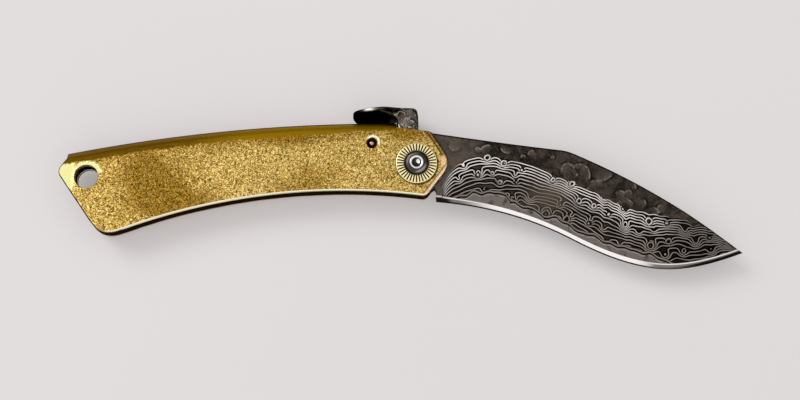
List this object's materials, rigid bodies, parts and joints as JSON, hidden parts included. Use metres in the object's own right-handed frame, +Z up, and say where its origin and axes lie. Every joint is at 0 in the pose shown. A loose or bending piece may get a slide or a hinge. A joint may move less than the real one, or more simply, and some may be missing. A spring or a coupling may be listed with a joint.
{
  "type": "folding pocket knife",
  "caption": "Friction folding knife with a folded brass handle, a recurved forged blade, a thumb lever and a lanyard hole.",
  "frame": {"origin": "centre of the open knife's box, on the surface that it lies on", "axes": "+X from the butt to the blade's tip, +Y to the spine, +Z up out of the face of the handle"},
  "size_m": [0.1741, 0.0421, 0.012],
  "materials": {
    "stippled_brass": "finely stippled sheet brass, worn golden, bright at the cut edges",
    "pale_brass": "pressed and polished",
    "forged_steel": "forge scale on the flats, etched layered pattern on the ground faces, polished edge",
    "dark_steel": "darkened and polished by wear",
    "rivet_steel": "peened, worn bright at the rim"
  },
  "bodies": {
    "handle": {"handle_shell": "stippled_brass", "pivot_rivet": "rivet_steel", "front_sunburst_washer": "pale_brass", "rear_sunburst_washer": "pale_brass", "front_cup_washer": "dark_steel", "rear_cup_washer": "dark_steel", "stop_pin": "rivet_steel"},
    "blade": {"blade": "forged_steel"}
  },
  "joints": [
    {"name": "blade_fold", "type": "hinge", "parent": "handle", "child": "blade", "pos_m": [0.00415, 0.00575, 0.006], "axis": [0, 0, -1], "range_deg": [0, 158]}
  ]
}
